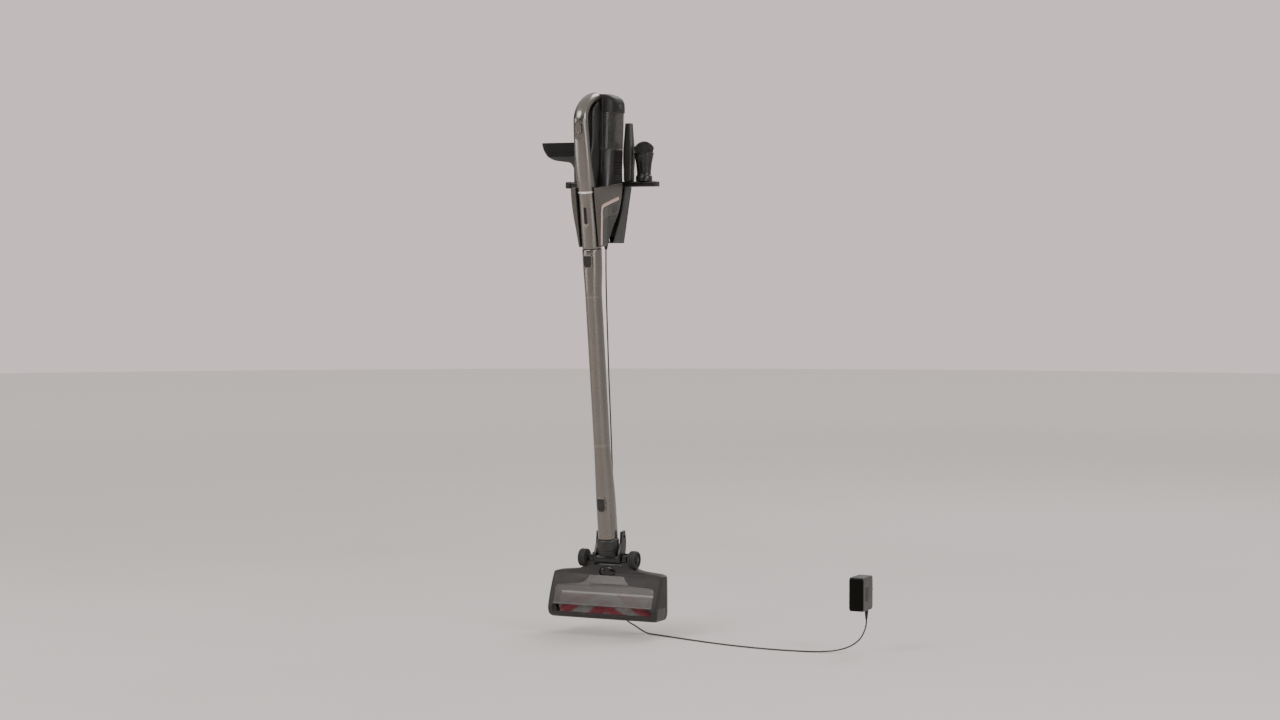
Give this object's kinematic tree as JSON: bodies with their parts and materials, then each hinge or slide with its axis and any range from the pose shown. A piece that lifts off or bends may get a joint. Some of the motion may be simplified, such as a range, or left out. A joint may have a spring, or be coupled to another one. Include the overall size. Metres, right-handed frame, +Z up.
{
  "type": "cordless stick vacuum",
  "caption": "Cordless stick vacuum hung on its wall dock, with loop handle, clear dust bin, slim suction tube, pivoting roller head, clip-on tools, charging cord and plug-in charger.",
  "frame": {"origin": "centre of the dock's flat back face, on the wall plane", "axes": "+Z up, +X to the right of someone facing the wall, -Y away from the wall"},
  "size_m": [0.8165, 0.1992, 1.2396],
  "materials": {
    "pearl_metal": "warm pearl grey, satin metallic",
    "pearl_lacquer": "warm pearl grey lacquer, satin metallic",
    "black_plastic": "matte black",
    "dark_plastic": "dark grey, fine texture",
    "warm_grey_plastic": "warm grey satin",
    "chrome_trim": "bright, polished",
    "rose_gold": "satin rose gold",
    "smoked_clear": "smoked, clear",
    "steel": "brushed",
    "contact_gold": "gold plated",
    "red_bristle": "short pile",
    "black_rubber": "matte",
    "filter_fleece": "pleated fleece",
    "motor_alloy": "drawn can"
  },
  "bodies": {
    "dock": {"dock_back_plate": "dark_plastic", "dock_shell": "dark_plastic", "dock_cradle": "black_plastic", "charge_contact_left": "contact_gold", "charge_contact_right": "contact_gold", "wall_screw_upper": "steel", "wall_screw_lower": "steel", "accessory_rail": "black_plastic", "cord_gland": "black_rubber", "charging_cord": "black_rubber", "charger_body": "dark_plastic", "charger_strain_relief": "black_rubber", "charger_pin_left": "steel", "charger_pin_right": "steel"},
    "power_unit": {"unit_casing": "warm_grey_plastic", "accent_strip_left": "rose_gold", "accent_strip_right": "rose_gold", "motor_housing": "black_plastic", "motor_can": "motor_alloy", "dust_bin": "smoked_clear", "cyclone_cone": "dark_plastic", "mesh_screen": "steel", "lid_hinge_pin": "steel"},
    "impeller": {"impeller": "steel"},
    "lid": {"bin_lid": "black_plastic", "fine_filter": "filter_fleece"},
    "lid_latch": {"lid_latch": "dark_plastic"},
    "battery": {"battery_pack": "dark_plastic", "battery_cap": "warm_grey_plastic"},
    "battery_button_left": {"battery_release_left": "dark_plastic"},
    "battery_button_right": {"battery_release_right": "dark_plastic"},
    "handle": {"spine_shell": "pearl_lacquer", "handle_bar": "black_plastic", "indicator_lens": "black_plastic", "trim_ring": "chrome_trim"},
    "power_button": {"power_button": "pearl_lacquer"},
    "suction_tube": {"suction_tube": "pearl_metal", "cable_channel": "dark_plastic", "tube_plug_housing": "dark_plastic"},
    "upper_button": {"upper_release_button": "black_plastic"},
    "lower_button": {"lower_release_button": "black_plastic"},
    "neck": {"neck_collar": "dark_plastic"},
    "yoke": {"neck_elbow": "black_plastic"},
    "head": {"head_cover": "dark_plastic", "head_window": "smoked_clear", "head_base": "black_plastic", "brush_motor": "motor_alloy", "drive_belt": "black_rubber", "rear_axle": "steel"},
    "brush_roll": {"brush_roll": "red_bristle"},
    "motor_pulley": {"motor_pulley": "steel"},
    "wheel_left": {"rear_wheel_left": "black_rubber"},
    "wheel_right": {"rear_wheel_right": "black_rubber"},
    "nozzle": {"upholstery_nozzle_body": "dark_plastic", "upholstery_nozzle_mouth": "black_plastic"},
    "crevice_tool": {"crevice_nozzle": "black_plastic"},
    "brush_tool": {"dusting_brush_body": "black_plastic", "dusting_brush_bristles": "black_plastic"}
  },
  "joints": [
    {"name": "unit_lift", "type": "slide", "parent": "dock", "child": "power_unit", "axis": [0, -0.1219, 0.9925], "range_m": [0, 0.1]},
    {"name": "handle_release", "type": "slide", "parent": "power_unit", "child": "handle", "axis": [0, -0.1219, 0.9925], "range_m": [0, 0.03]},
    {"name": "tube_release", "type": "slide", "parent": "handle", "child": "suction_tube", "axis": [0, 0.1219, -0.9925], "range_m": [0, 0.03]},
    {"name": "head_release", "type": "slide", "parent": "suction_tube", "child": "neck", "axis": [0, 0.1219, -0.9925], "range_m": [0, 0.01]},
    {"name": "head_swivel", "type": "hinge", "parent": "neck", "child": "yoke", "pos_m": [0, -0.0454, -0.7912], "axis": [0, -0.1219, 0.9925], "range_deg": [-30, 30]},
    {"name": "head_pitch", "type": "hinge", "parent": "yoke", "child": "head", "pos_m": [0, -0.0435, -0.791], "axis": [-1, 0, 0], "range_deg": [0, 90]},
    {"name": "brush_roll_spin", "type": "hinge", "parent": "head", "child": "brush_roll", "pos_m": [0, -0.0475, -0.898], "axis": [1, 0, 0], "continuous": true},
    {"name": "motor_pulley_spin", "type": "hinge", "parent": "head", "child": "motor_pulley", "pos_m": [0, -0.0475, -0.85], "axis": [1, 0, 0], "continuous": true},
    {"name": "wheel_left_spin", "type": "hinge", "parent": "head", "child": "wheel_left", "pos_m": [0, -0.0435, -0.791], "axis": [1, 0, 0], "continuous": true},
    {"name": "wheel_right_spin", "type": "hinge", "parent": "head", "child": "wheel_right", "pos_m": [0, -0.0435, -0.791], "axis": [1, 0, 0], "continuous": true},
    {"name": "power_button_press", "type": "slide", "parent": "handle", "child": "power_button", "axis": [0, 0.9925, 0.1219], "range_m": [0, 0.001], "stiffness_N_per_m": 800},
    {"name": "upper_button_press", "type": "slide", "parent": "suction_tube", "child": "upper_button", "axis": [0, 0.9925, 0.1219], "range_m": [0, 0.0015], "stiffness_N_per_m": 800},
    {"name": "lower_button_press", "type": "slide", "parent": "suction_tube", "child": "lower_button", "axis": [0, 0.9925, 0.1219], "range_m": [0, 0.0015], "stiffness_N_per_m": 800},
    {"name": "battery_slide", "type": "slide", "parent": "power_unit", "child": "battery", "axis": [0, 0.1219, -0.9925], "range_m": [0, 0.03]},
    {"name": "battery_left_press", "type": "slide", "parent": "battery", "child": "battery_button_left", "axis": [1, 0, 0], "range_m": [0, 0.0015], "stiffness_N_per_m": 800},
    {"name": "battery_right_press", "type": "slide", "parent": "battery", "child": "battery_button_right", "axis": [-1, 0, 0], "range_m": [0, 0.0015], "stiffness_N_per_m": 800},
    {"name": "lid_open", "type": "hinge", "parent": "power_unit", "child": "lid", "pos_m": [0, -0.0138, 0.231], "axis": [-1, 0, 0], "range_deg": [0, 40]},
    {"name": "lid_latch_press", "type": "slide", "parent": "lid", "child": "lid_latch", "axis": [-1, 0, 0], "range_m": [0, 0.0008], "stiffness_N_per_m": 800},
    {"name": "impeller_spin", "type": "hinge", "parent": "power_unit", "child": "impeller", "pos_m": [0, -0.069, 0.13], "axis": [0, 0, 1], "continuous": true},
    {"name": "nozzle_lift", "type": "slide", "parent": "dock", "child": "nozzle", "axis": [0, 0, 1], "range_m": [0, 0.02]},
    {"name": "crevice_tool_lift", "type": "slide", "parent": "dock", "child": "crevice_tool", "axis": [0, 0, 1], "range_m": [0, 0.02]},
    {"name": "brush_tool_lift", "type": "slide", "parent": "dock", "child": "brush_tool", "axis": [0, 0, 1], "range_m": [0, 0.02]}
  ],
  "couplings": [
    {"joint": "motor_pulley_spin", "follows": "brush_roll_spin", "ratio": 1.9828}
  ]
}
